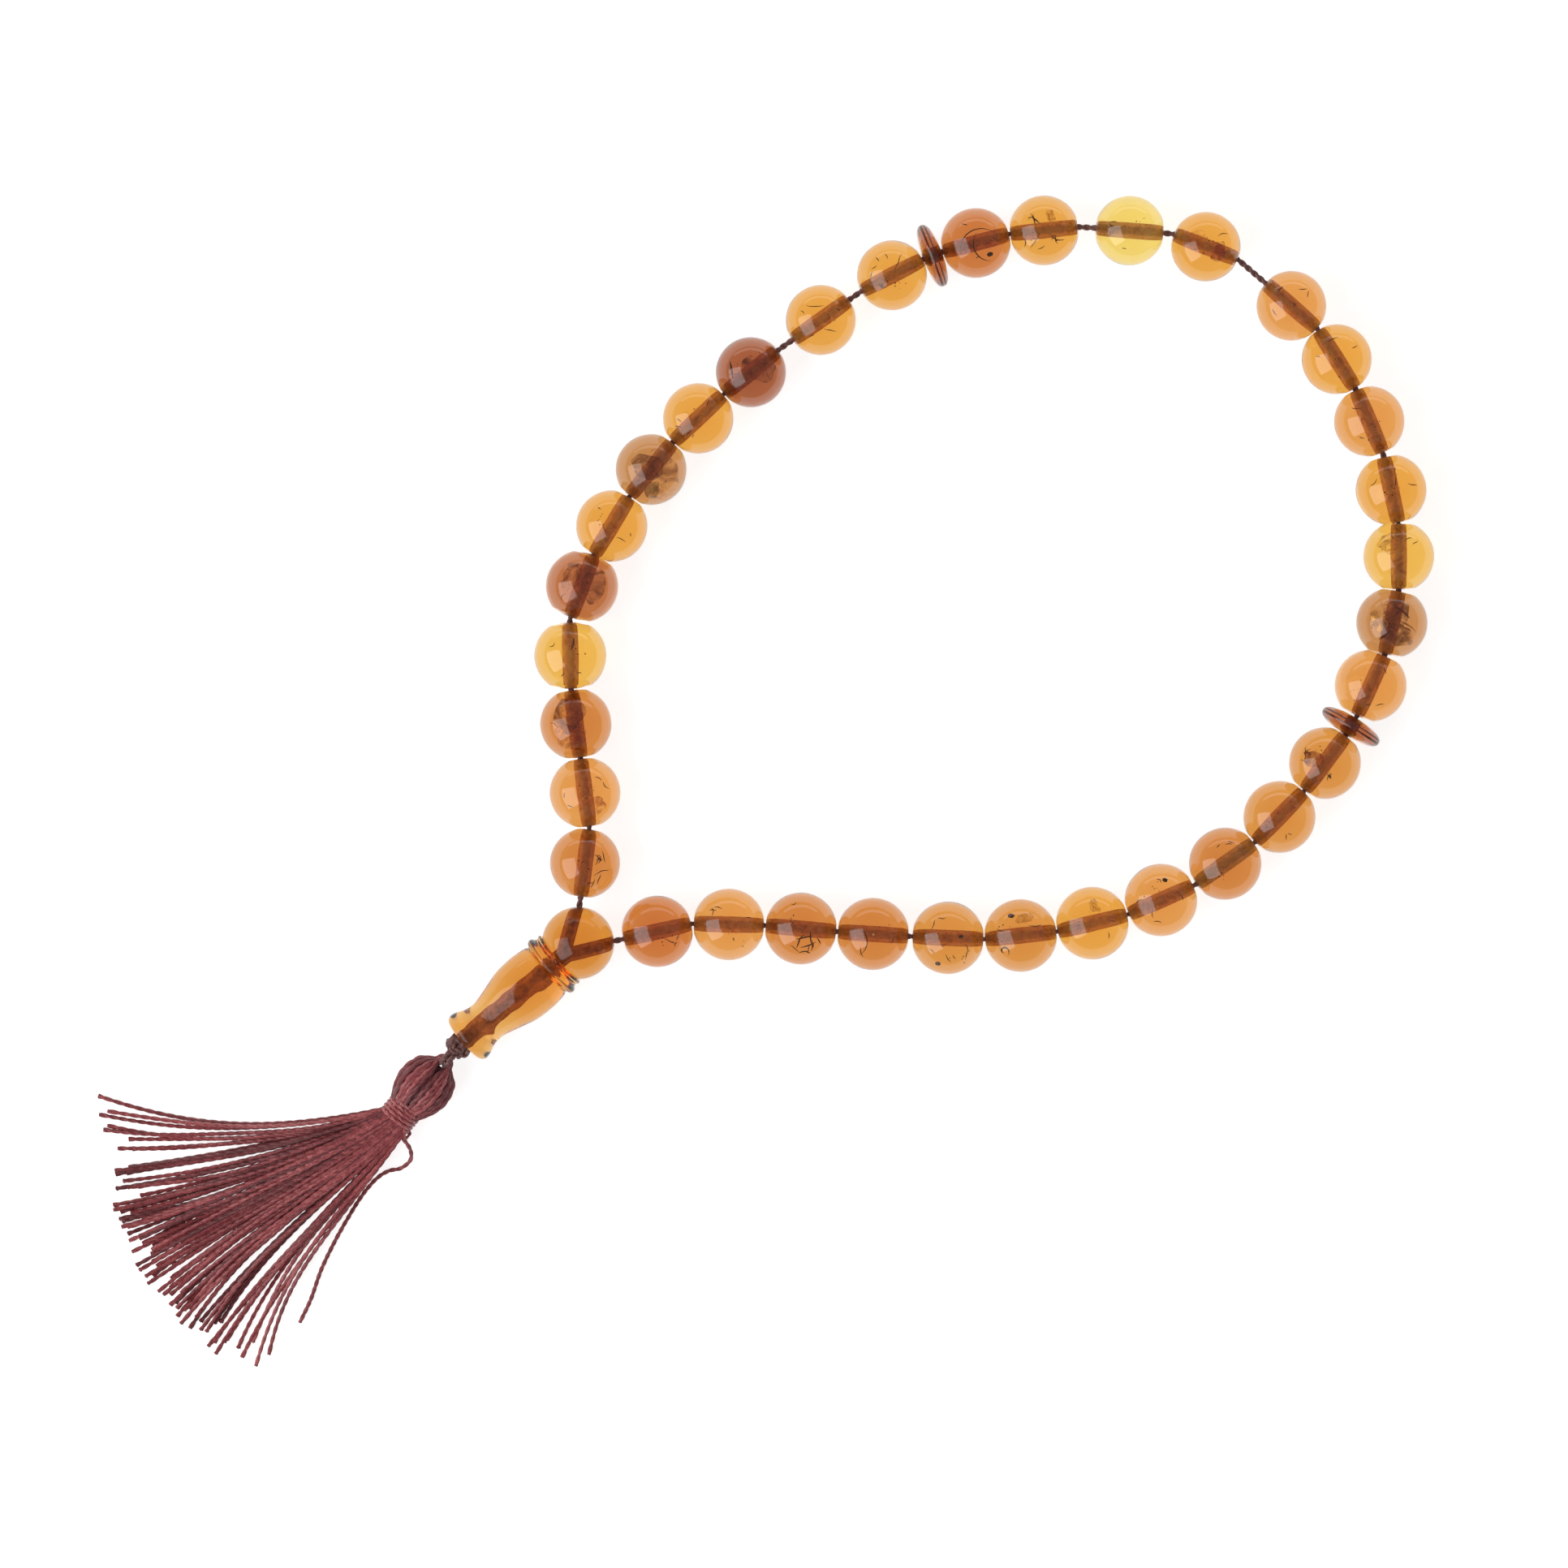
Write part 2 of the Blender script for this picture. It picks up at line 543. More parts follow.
# What each bead holds. Each inclusion is a kind, a material, where it
# is seen from above as shares of the radius (right, up), its height, and its size in mm.
HOLDS = {
    1: [("crack", "brown", 0.5, 0.15, 0.3, 1.5), ("hair", "black", 0.55, -0.25, 0.3, 1.8),
         ("hair", "black", 0.6, 0.2, 0.25, 1.2)],
    2: [("specks", "gold", 0.0, 0.0, 0.35, 6), ("cloud", "orange", 0.35, -0.4, 0.2, 1.6)],
    3: [("cloud", "brown", -0.2, 0.3, 0.35, 3.2), ("cloud", "red", -0.1, -0.4, 0.3, 2.6),
        ("arc", "brown", 0.1, 0.3, 0.4, 4.6)],
    4: [("spindle", "brown", 0.1, 0.35, 0.35, 1.4)],
    5: [("cloud", "mauve", 0.4, 0.05, 0.35, 2.8), ("cloud", "brown", -0.3, 0.3, 0.3, 2.2)],
    6: [("specks", "pale", -0.35, 0.4, 0.35, 5), ("hair", "brown", 0.3, -0.4, 0.2, 1.0)],
    7: [("cloud", "brown", -0.1, 0.1, 0.4, 2.8), ("cloud", "red", 0.2, -0.2, -0.35, 2.4),
         ("cloud", "green", 0.0, -0.6, 0.1, 1.5)],
    8: [("hair", "brown", 0.3, 0.45, 0.2, 0.7)],
    9: [("spindle", "black", -0.62, 0.05, 0.3, 2.0), ("cloud", "brown", 0.2, 0.1, -0.4, 1.8)],
    10: [("hair", "brown", -0.2, 0.4, 0.3, 1.8), ("hair", "black", 0.3, -0.35, 0.3, 1.3)],
    11: [("hair", "brown", 0.2, 0.4, 0.3, 2.0), ("crack", "brown", -0.3, -0.35, 0.3, 1.1)],
    12: [("arc", "black", -0.1, 0.2, 0.4, 5.6), ("arc", "black", 0.1, -0.3, 0.35, 4.6),
         ("fleck", "black", 0.45, -0.4, 0.3, 0.34)],
    13: [("crack", "brown", -0.3, 0.35, 0.3, 1.6), ("crack", "brown", 0.35, -0.3, 0.3, 1.5),
         ("flash", "flash", 0.2, 0.4, 0.2, 1.4), ("hair", "black", -0.3, -0.4, 0.3, 1.8)],
    14: [],
    15: [("cloud", "orange", -0.3, 0.2, 0.35, 1.9), ("cloud", "red", 0.35, -0.2, 0.3, 1.6)],
    16: [("hair", "brown", 0.35, 0.5, 0.3, 0.9), ("hair", "brown", 0.5, 0.35, 0.3, 0.7)],
    17: [("specks", "brown", 0.2, -0.4, 0.3, 2)],
    18: [("specks", "black", 0.0, -0.55, 0.3, 5)],
    19: [("hair", "brown", 0.1, 0.25, 0.4, 1.6), ("specks", "gold", -0.1, 0.1, 0.4, 4)],
    20: [("cloud", "orange", -0.35, 0.4, 0.3, 1.9)],
    21: [("cloud", "brown", 0.1, 0.25, 0.4, 3.0), ("cloud", "brown", 0.1, -0.35, 0.3, 2.6),
         ("flash", "flash", -0.45, 0.1, 0.3, 2.0), ("flash", "flash", 0.3, -0.5, 0.2, 1.6),
         ("spindle", "black", 0.3, 0.35, 0.35, 2.2), ("spindle", "brown", -0.3, 0.45, 0.3, 2.0),
         ("spindle", "black", -0.25, -0.4, 0.3, 1.8), ("spindle", "brown", 0.5, -0.1, 0.3, 2.2)],
    22: [("specks", "brown", -0.3, 0.4, 0.3, 2)],
    23: [("cloud", "red", -0.4, 0.1, 0.35, 2.0), ("crack", "brown", 0.1, -0.4, 0.3, 1.0)],
    24: [],
    25: [("specks", "brown", 0.3, 0.3, 0.3, 2)],
    26: [("fleck", "black", 0.1, 0.6, 0.2, 0.3), ("hair", "brown", -0.3, -0.4, 0.3, 1.0)],
    27: [("flash", "flash", 0.05, 0.55, 0.25, 1.3)],
    28: [("flash", "flash", 0.1, 0.55, 0.3, 1.7), ("curl", "brown", -0.5, -0.45, 0.25, 1.2),
         ("fleck", "brown", -0.3, 0.6, 0.2, 0.35), ("hair", "brown", 0.45, 0.3, 0.3, 1.4)],
    29: [("fleck", "black", 0.4, 0.05, 0.4, 0.25), ("hair", "black", 0.55, -0.5, 0.2, 1.1),
         ("hair", "brown", -0.2, 0.6, 0.25, 0.9), ("specks", "black", 0.2, -0.6, 0.2, 4),
         ("fleck", "brown", -0.3, -0.75, 0.1, 0.3), ("hair", "brown", 0.6, -0.3, 0.3, 1.0)],
    30: [("fleck", "pale", 0.0, 0.0, 0.6, 0.16), ("arc", "brown", -0.3, -0.2, 0.4, 4.0)],
    31: [("twig", "black", 0.2, -0.45, 0.3, 3.0), ("hair", "brown", -0.2, 0.75, 0.2, 0.6)],
    32: [("specks", "brown", 0.3, -0.4, 0.3, 2)],
    33: [("specks", "black", 0.3, -0.4, 0.3, 3), ("hair", "brown", 0.4, -0.3, 0.2, 1.4)],
}
SEEN = 1.45


def inclusion(kind, at, size, rng, seed):
    """Meshes of one inclusion, in metres."""
    s = size * MM
    if kind in ("cloud", "flash"):
        return [patch(rng, at, s * 0.62, rng.uniform(0.1, 0.5) + (0.5 if kind == "flash" else 0),
                      seed, rng.uniform(0.85, 1.2))]
    if kind == "crack":
        return [hair(rng, at + rng.uniform(-1, 1) * 0.2 * s * np.array([1, 0.4, 0]),
                     s * rng.uniform(0.6, 1.1), 0.06 * MM, 1.3) for _ in range(4)]
    if kind == "hair":
        return [hair(rng, at, s * 1.15, 0.055 * MM, 0.6)]
    if kind == "spindle":
        return [hair(rng, at, s, 0.13 * MM, 0.2)]
    if kind in ("arc", "curl"):
        n, sweep = 22, (2.2 if kind == "arc" else 5.2)
        a = np.linspace(0, sweep, n) + rng.uniform(0, 6)
        r = s / 2 * np.linspace(1, 0.8 if kind == "arc" else 0.35, n)
        p = at + np.stack([r * np.cos(a), r * np.sin(a), 0.1 * r * np.sin(2 * a)], 1)
        p -= p.mean(0) - at
        return [tube(p, (0.07 if kind == "arc" else 0.11) * MM * np.sin(
            np.linspace(0.15, 3, n)), 6)]
    if kind == "fleck":
        return [blob(at, s, seed, (1, 0.8, 0.6))]
    if kind == "specks":
        return [blob(at + np.array([rng.gauss(0, 0.7), rng.gauss(0, 0.45), rng.gauss(0, 0.15)])
                     * MM, rng.uniform(0.04, 0.1) * MM, seed + k, detail=1)
                for k in range(int(size))]
    parts = []
    for k, (x, y, turn, n) in enumerate([(-0.3, 0.1, 205, 1.2), (-0.1, 0.22, 195, 1.3),
                                         (0.12, 0.2, 250, 1.0), (0.05, -0.1, 215, 1.3),
                                         (0.22, -0.12, 280, 1.0), (0.5, 0.05, 120, 0.7),
                                         (-0.15, -0.4, 190, 0.8), (0.05, -0.45, 325, 0.6)]):
        parts.append(hair(rng, at + np.array([x, y, 0.05 * k]) * s, n * 1.5 * MM,
                          0.085 * MM, 0.35, turn))
    return parts


def make_bead(name, place, tone, bore, seed):
    disc = name.startswith("disc")
    profile, outside = outline(place["r"], place["half"], disc, WORN.get(name, 6))
    turns = 96

    def wobble(v):
        if np.linalg.norm(v) < 0.6 * place["r"]:
            return 1.0
        k = noise.noise(Vector(v) * 330 + Vector((seed * 3.1, 0, seed)))
        return 1 - 0.004 * (0.5 + k)
    v, f = lathe(profile, place["at"], place["axis"], turns=turns, wobble=wobble)
    n = len(profile)
    marks = [0 if i < outside - 1 else 1 for _ in range(turns) for i in range(n)]
    add_object(name + "_amber", name, (v, f), [tone, bore], marks, [name])


def make_inclusions(number, place, rng):
    holds = list(HOLDS[number])
    for _ in range(2 + number % 3):
        a = rng.uniform(0, 2 * math.pi)
        holds.append(("hair", "brown", 0.62 * math.cos(a), 0.62 * math.sin(a),
                      rng.uniform(0.05, 0.35), rng.uniform(0.4, 1.1)))
    holds.append(("specks", "brown", rng.uniform(-0.4, 0.4), rng.uniform(-0.4, 0.4), 0.3,
                  4 + number % 4))
    by_material = {}
    for k, (kind, colour, x, y, h, size) in enumerate(holds):
        r = place["r"]
        at = np.array([x * r / SEEN, y * r / SEEN, h * r])
        away = at - (at @ place["axis"]) * place["axis"]
        clear = 1.15 * MM + (0.35 * MM if kind in ("cloud", "flash") else 0)
        if np.linalg.norm(away) < clear:
            at += unit(away + np.array([0, 0, 1e-6])) * (clear - np.linalg.norm(away))
        limit = r * 0.88
        parts = inclusion(kind, np.zeros(3), size, rng, number * 7 + k)
        for v, f in parts:
            v = v + at
            d = np.linalg.norm(v, axis=1)
            v *= np.minimum(1, limit / d)[:, None]
            s = v @ place["axis"]
            out = v - s[:, None] * place["axis"]
            q = np.linalg.norm(out, axis=1)
            push = np.maximum(0, 0.92 * MM - q) / np.maximum(q, 1e-9)
            v = v + out * push[:, None]
            by_material.setdefault(colour, []).append((v + place["at"], f))
    for colour, parts in by_material.items():
        material = VEILS[colour] if parts and colour in VEILS and holds_kind(holds, colour) \
            else SPECKS[colour]
        add_object(f"bead_{number:02d}_{colour}_inclusions", f"bead_{number:02d}",
                   merged(parts), [material])


def holds_kind(holds, colour):
    return any(h[1] == colour and h[0] in ("cloud", "flash") for h in holds)


for number in range(1, COUNT + 1):
    name = f"bead_{number:02d}"
    rng = random.Random(1000 + number)
    tone = amber(f"amber_{number:02d}", SHADES[BEAD_SHADES[number - 1]], 0.0, number)
    make_bead(name, PLACE[name], tone, BORE_GREY if number == 25 else BORE, number)
    make_inclusions(number, PLACE[name], rng)
for k in (1, 2):
    make_bead(f"disc_{k}", PLACE[f"disc_{k}"], AMBER_DISC, BORE_DARK, 60 + k)



# ---------------------------------------------------------------- the stringing cord
CORD_D = 0.9 * MM
PITCH = 2.3 * MM
KEEP = 1.0 * MM
STRING_Z = JOINTS["bend_loop"]["pos_m"][2]


def string_path():
    """The string's line, from one mouth of the leader bead round to the other."""
    p = [np.array(JOINTS["bend_link_1"]["pos_m"])]
    for name in ITEMS:
        q = PLACE[name]
        for k in (-1, -0.5, 0, 0.5, 1):
            p.append(q["at"] + q["axis"] * q["half"] * k)
    p.append(np.array(JOINTS["bend_loop"]["pos_m"]))
    p = np.array(p)
    p[:, 2] = STRING_Z
    first, last = unit(p[0] - p[1]), unit(p[-1] - p[-2])
    p = np.array([p[0] + first * 1.6 * MM, *p, p[-1] + last * 1.6 * MM])
    p = even_path(p, 0.2 * MM)
    ease = np.array([1, 2, 3, 2, 1]) / 9
    q = p.copy()
    for k in range(3):
        q[2:-2, k] = np.convolve(p[:, k], ease, "valid")
    return q


STRING = string_path()
STRING_S = arc(STRING)


def s_near(point):
    return STRING_S[np.argmin(np.linalg.norm(STRING[:, :2] - np.array(point)[:2], axis=1))]


def string_piece(s0, s1):
    inside = (STRING_S > s0 + 1e-6) & (STRING_S < s1 - 1e-6)
    s = np.concatenate([[s0], STRING_S[inside], [s1]])
    p = np.stack([np.interp(s, STRING_S, STRING[:, k]) for k in range(3)], 1)
    return plied(p, CORD_D, PITCH, 2, 10, 2 * math.pi * s0 / PITCH, lobe=0.21)


def make_string():
    mouths = [s_near(JOINTS["bend_link_1"]["pos_m"]), s_near(JOINTS["bend_loop"]["pos_m"])]
    q = PLACE[ITEMS[15]]
    middle = s_near(q["at"] + q["axis"] * (q["half"] + 0.05 * MM))
    for chain, sign, start in (((1, 2, 3, 4), 1, mouths[0]), ((9, 8, 7, 6, 5), -1, mouths[1])):
        for i, k in enumerate(chain):
            near = start if i == 0 else s_near(JOINTS[f"bend_link_{k}"]["pos_m"])
            far = middle if i == len(chain) - 1 else \
                s_near(JOINTS[f"bend_link_{chain[i + 1]}"]["pos_m"]) - sign * KEEP
            ends = sorted([near - sign * KEEP, far])
            obj = add_object(f"string_{k}", None, string_piece(*ends), [CORD],
                             replaces=[f"string_cord_{k}"])
            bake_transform(obj)


make_string()

# ---------------------------------------------------------------- the leader
stem_joint = JOINTS["roll_stem"]
BALL = np.array(stem_joint["pos_m"])
STEM = unit(stem_joint["axis"])
KNOT = np.array(JOINTS["lift_tassel"]["pos_m"])
EYE = np.array(JOINTS["pivot_tassel"]["pos_m"])
APEX = BALL + STEM * 2 * MM
BALL_R = (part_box("leader_ball")[1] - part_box("leader_ball")[0])[2] / 2
LEADER = amber("amber_leader", (0.74, 0.29, 0.035), 0.0, 9, 1.4)


def cylinder_object(a, b, r):
    p = np.linspace(a, b, 2)
    v, f = tube(p, r, 64)
    mesh = bpy.data.meshes.new("cutter")
    mesh.from_pydata([tuple(x) for x in v], [], f)
    face_outwards(mesh)
    obj = bpy.data.objects.new("cutter", mesh)
    bpy.context.scene.collection.objects.link(obj)
    return obj


def make_ball():
    a = np.linspace(0.0, math.pi, 97)[1:-1]
    profile = [(-BALL_R * math.cos(x), BALL_R * math.sin(x)) for x in a]
    turns, n = 192, len(a)
    v, f = lathe(profile, BALL, STEM, turns=turns)
    f = [q for i, q in enumerate(f) if i % n != n - 1]
    f.append([j * n for j in range(turns)][::-1])
    f.append([j * n + n - 1 for j in range(turns)])
    mesh = bpy.data.meshes.new("ball")
    mesh.from_pydata([tuple(x) for x in v], [], f)
    face_outwards(mesh)
    obj = bpy.data.objects.new("ball", mesh)
    bpy.context.scene.collection.objects.link(obj)
    cutters = []
    for name in ("bend_link_1", "bend_loop"):
        mouth = np.array(JOINTS[name]["pos_m"])
        cutters.append(cylinder_object(APEX, mouth + unit(mouth - APEX) * MM, BORE_R))
    cutters.append(cylinder_object(APEX - STEM * 0.9 * MM, BALL + STEM * (BALL_R + MM),
                                   0.95 * MM))
    for c in cutters:
        m = obj.modifiers.new("hole", "BOOLEAN")
        m.operation, m.solver, m.object = "DIFFERENCE", "EXACT", c
    dg = bpy.context.evaluated_depsgraph_get()
    made = obj.evaluated_get(dg).to_mesh()
    v = np.array([x.co for x in made.vertices])
    f = [list(p.vertices) for p in made.polygons]
    deep = [int(np.linalg.norm(np.array(p.center) - BALL) < BALL_R - 0.03 * MM)
            for p in made.polygons]
    for o in (obj, *cutters):
        bpy.data.objects.remove(o)
    add_object("leader_ball_amber", "leader", (v, f), [LEADER, BORE_DARK],
               deep, ["leader_ball"], 35)


def round_part(middle, r, a0, a1, n=14):
    return [(middle[0] - r * math.cos(math.radians(a)), middle[1] + r * math.sin(math.radians(a)))
            for a in np.linspace(a0, a1, n)]


def make_stem():
    cup = 5.21
    body = smooth_path([[6.12, 4.3, 0], [7.4, 4.52, 0], [9, 4.62, 0], [11.5, 4.45, 0],
                        [14, 3.8, 0], [16.6, 3.12, 0], [18.2, 3.2, 0], [19.2, 3.6, 0],
                        [20.0, 3.9, 0], [20.7, 3.92, 0], [21.2, 3.6, 0],
                        [21.45, 3.0, 0], [21.5, 2.4, 0]], 0.2)
    out = [(3.3, 4.2)]
    out += round_part((3.62, 4.2), 0.22, 10, 170, 10)
    out += [(4.08, 4.22)]
    out += round_part((5.0, 4.2), 0.6, 12, 168, 18)
    out += [(5.9, 4.1)] + [tuple(q[:2]) for q in body]
    mouth = [(21.5, 1.7), (21.4, 1.56), (20.68, 0.97)]
    mouth += [(s, 0.95) for s in np.linspace(20.5, 5.3, 40)]
    bowl = [(cup * math.cos(a), cup * math.sin(a))
            for a in np.linspace(math.asin(0.97 / cup), math.asin(4.0 / cup), 26)]
    profile = [(s * MM, r * MM) for s, r in out + mouth + bowl]
    n, outside = len(profile), len(out)
    turns = 160
    v, f = lathe(profile, BALL, STEM, turns=turns)
    along = (v - BALL) @ STEM / MM
    out_of = v - BALL - (along * MM)[:, None] * STEM
    side = unit(np.cross(UP, STEM))
    for i in np.nonzero((np.linalg.norm(out_of, axis=1) < 0.99 * MM) & (along > 5.4)
                        & (along < 20.4))[0]:
        q = Vector(out_of[i]) * 900
        rough = 0.3 * max(0, noise.noise(q + Vector((along[i] * 0.5, 0, 3))) + 0.1)
        left = (unit(out_of[i]) @ side + 1) / 2
        rough += 0.55 * left * math.exp(-((along[i] - 17.6) / 0.7) ** 2)
        rough += 0.5 * left * (0.5 + 0.5 * math.tanh((8.6 - along[i]) * 3))
        v[i] += out_of[i] * rough
    bore = range(outside + 1, outside + len(mouth))
    marks = [1 if i in bore else 0 for _ in range(turns) for i in range(n)]
    add_object("leader_stem_amber", "stem", (v, f), [LEADER, BORE_DARK],
               marks, ["leader_stem"], 60)


make_ball()
make_stem()
for k, name in enumerate(("bend_link_1", "bend_loop")):
    mouth = np.array(JOINTS[name]["pos_m"])
    way = unit(mouth - APEX)
    leg = even_path([APEX - way * 0.3 * MM, mouth - way * KEEP * 0.9], 0.2 * MM)
    add_object(f"leader_leg_{k + 1}_cord", "leader",
               plied(leg, CORD_D, PITCH, 2, 10, lobe=0.21), [CORD],
               replaces=[f"leader_leg_{k + 1}"])

side = unit(np.cross(UP, STEM))
trunk = even_path([APEX, KNOT], 0.2 * MM)
turn = arc(trunk) * 2 * math.pi / (9 * MM)
across = np.cos(turn)[:, None] * side + np.sin(turn)[:, None] * np.cross(STEM, side)
add_object("leader_trunk_cord", "leader",
           merged([plied(trunk + across * 0.33 * MM * k, 0.66 * MM, PITCH, 2, 8)
                   for k in (-1, 1)]), [CORD], replaces=["leader_trunk"])


KNOT_R = 1.42 * MM
KNOT_CORD = 0.95 * MM
KNOT_SHIFT = 0.35 * MM


def knot_path(r, phase, lift):
    """One closed lead of the stopper knot, three times round with three bights."""
    t = np.linspace(0, 2 * math.pi, 150)
    q = r * (1 + 0.16 * np.cos(3 * t * lift + phase))
    lat = 0.75 * np.sin(1.5 * t * lift + phase)
    side_a = unit(np.cross(UP, STEM))
    side_b = np.cross(STEM, side_a)
    w = 2 * t + phase
    return KNOT + STEM * KNOT_SHIFT + (np.cos(w) * np.cos(lat) * q)[:, None] * side_a \
        + (np.sin(w) * np.cos(lat) * q)[:, None] * side_b + (np.sin(lat) * q)[:, None] * STEM


def make_knot():
    parts = [plied(knot_path(KNOT_R, 0.4 + 2.1 * k, 2), KNOT_CORD, 2.1 * MM, 2, 8, lobe=0.2)
             for k in range(2)]
    parts.append(blob(KNOT + STEM * KNOT_SHIFT, 1.25 * MM, 3))
    add_object("stopper_knot_cord", "leader", merged(parts), [CORD],
               replaces=["stopper_knot"])


make_knot()

# ---------------------------------------------------------------- the tassel
TASSEL = unit(EYE - KNOT)
ACROSS = unit(np.cross(UP, TASSEL))
OVER = np.cross(TASSEL, ACROSS)
EYE_AT = np.linalg.norm(EYE - KNOT) / MM
EYE_R = 1.4
wrap_lo, wrap_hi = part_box("tassel_wrap")
WRAP = np.array((wrap_lo + wrap_hi) / 2)
WRAP_AT = (WRAP - KNOT) @ TASSEL / MM
THREAD = 0.65
WRAP_D = 5.5
WRAP_TURNS = 5
SKIRT_REACH = (38.8, 43.8)


def in_tassel(s, y, z):
    """A point from millimetres along the tassel, across it and over it."""
    s, y, z = (np.asarray(x, float)[..., None] for x in (s, y, z))
    return KNOT + (TASSEL * s + ACROSS * y + OVER * z) * MM


def make_hanger():
    a = np.linspace(-2.45, 2.45, 80)
    s = EYE_AT - EYE_R + EYE_R * np.cos(a)
    z = EYE_R * np.sin(a)
    strands = [plied(in_tassel(s, y + 0 * s, z), 0.84 * MM, 2.2 * MM, 2, 9, hint=ACROSS,
                     lobe=0.2) for y in (-0.4, 0.4)]
    add_object("hanger_loop_cord", "hanger", merged(strands), [CORD],
               replaces=["hanger_loop"])


BULB_S = [3.9, 5.2, 6.4, 7.6, 9.0, 10.4, 11.4, 12.2, 13.6]
BULB_Y = [2.2, 3.0, 3.5, 3.75, 3.7, 3.25, 2.75, 2.3, 2.1]
BULB_Z = [0.6, 1.7, 2.35, 2.68, 2.7, 2.5, 2.3, 2.15, 2.05]


def make_head():
    rng = random.Random(5)
    parts = []
    n = 17
    for k in range(n):
        a = math.radians(-84 + 168 * k / (n - 1) + rng.uniform(-2, 2))
        swell = rng.uniform(0.97, 1.03)
        s = list(reversed(BULB_S))[:-1]
        y = [np.interp(x, BULB_S, BULB_Y) * math.cos(a) * swell for x in s]
        z = [np.interp(x, BULB_S, BULB_Z) * math.sin(a) * swell for x in s]
        left = [in_tassel(*q) for q in zip(s, y, z)]
        ring = []
        for w in np.radians(np.linspace(5, 175, 9)):
            r = 0.66 + 0.6 * math.cos(a)
            ring.append(in_tassel(EYE_AT - r * math.sin(w), r * math.cos(w),
                                  0.5 * math.sin(a)))
        right = [in_tassel(u, -v, w) for u, v, w in zip(s, y, z)][::-1]
        p = even_path(smooth_path([*left, *ring, *right], 0.25 * MM), 0.22 * MM)
        far = np.linalg.norm(p - EYE, axis=1) / MM
        parts.append(plied(p, 0.84 * MM, 3.4 * MM, 2, 7, rng.uniform(0, 6),
                           taper=np.interp(far, [1.4, 5], [0.68, 1.0])))
    parts.append(blob(in_tassel(EYE_AT + 1.3, 0, 0), 0.92 * MM, 4))
    core_s = np.linspace(4.9, 13.4, 24)
    w = np.arange(40) * 2 * np.pi / 40
    rows = [in_tassel(x + 0 * w, np.interp(x, BULB_S, BULB_Y) * 0.9 * np.cos(w)
                      * min(1, (x - 4.7) / 0.8), np.interp(x, BULB_S, BULB_Z) * 0.9 * np.sin(w)
                      * min(1, (x - 4.7) / 0.8)) for x in core_s]
    v = np.concatenate(rows)
    f = [[i * 40 + k, i * 40 + (k + 1) % 40, (i + 1) * 40 + (k + 1) % 40, (i + 1) * 40 + k]
         for i in range(len(rows) - 1) for k in range(40)]
    f += [list(range(39, -1, -1)), list(range((len(rows) - 1) * 40, len(rows) * 40))]
    parts.append((v, f))
    picks = [rng.choice([0, 0, 1, 2]) for _ in parts[:-2]] + [1, 1]
    add_object("tassel_head_threads", "tassel", merged(parts), SILKS,
               tinted(parts, picks), replaces=["tassel_head"])


def make_wrap():
    t = np.linspace(0, 1, 60 * WRAP_TURNS)
    a = 2 * math.pi * WRAP_TURNS * t + 0.6
    s = WRAP_AT + (t - 0.5) * (WRAP_TURNS - 0.2) * THREAD
    r = WRAP_D / 2 - THREAD / 2
    p = in_tassel(s, r * np.cos(a), r * np.sin(a))
    parts = [plied(p, THREAD * MM, 2.1 * MM, 2, 8)]
    knot = [in_tassel(WRAP_AT + 1.9 + 0.5 * math.sin(2 * w), 2.3 + 0.6 * math.cos(w),
                      0.4 + 0.6 * math.sin(w)) for w in np.linspace(0, 6.28, 16)]
    parts.append(plied(smooth_path(knot, 0.1 * MM), 0.5 * MM, 1.6 * MM, 2, 7))
    add_object("tassel_wrap_threads", "tassel", merged(parts), SILKS,
               tinted(parts, [2, 0]), replaces=["tassel_wrap"])


TAIL = np.array([[-51.2, -50.6, 2.6], [-50.2, -52.2, 1.8], [-50.2, -53.8, 0.9],
                 [-51.6, -55, 0.5], [-53.4, -55.4, 0.4], [-55.2, -56.6, 0.35],
                 [-57.2, -59, 0.35], [-59.2, -62.2, 0.35], [-61.2, -65.8, 0.35],
                 [-63, -69.6, 0.35], [-64.4, -73.6, 0.35], [-66, -77, 0.35]]) * MM


def make_tail():
    path = even_path(smooth_path(TAIL, 0.4 * MM), 0.3 * MM)
    obj = add_object("tie_tail_thread", "tassel",
                     plied(path, THREAD * MM, 2.1 * MM, 2, 8), SILKS[:1], replaces=["tie_tail"])


def bezier(a, b, c, d, n):
    t = np.linspace(0, 1, n)[:, None]
    return a * (1 - t)**3 + 3 * b * t * (1 - t)**2 + 3 * c * t * t * (1 - t) + d * t**3


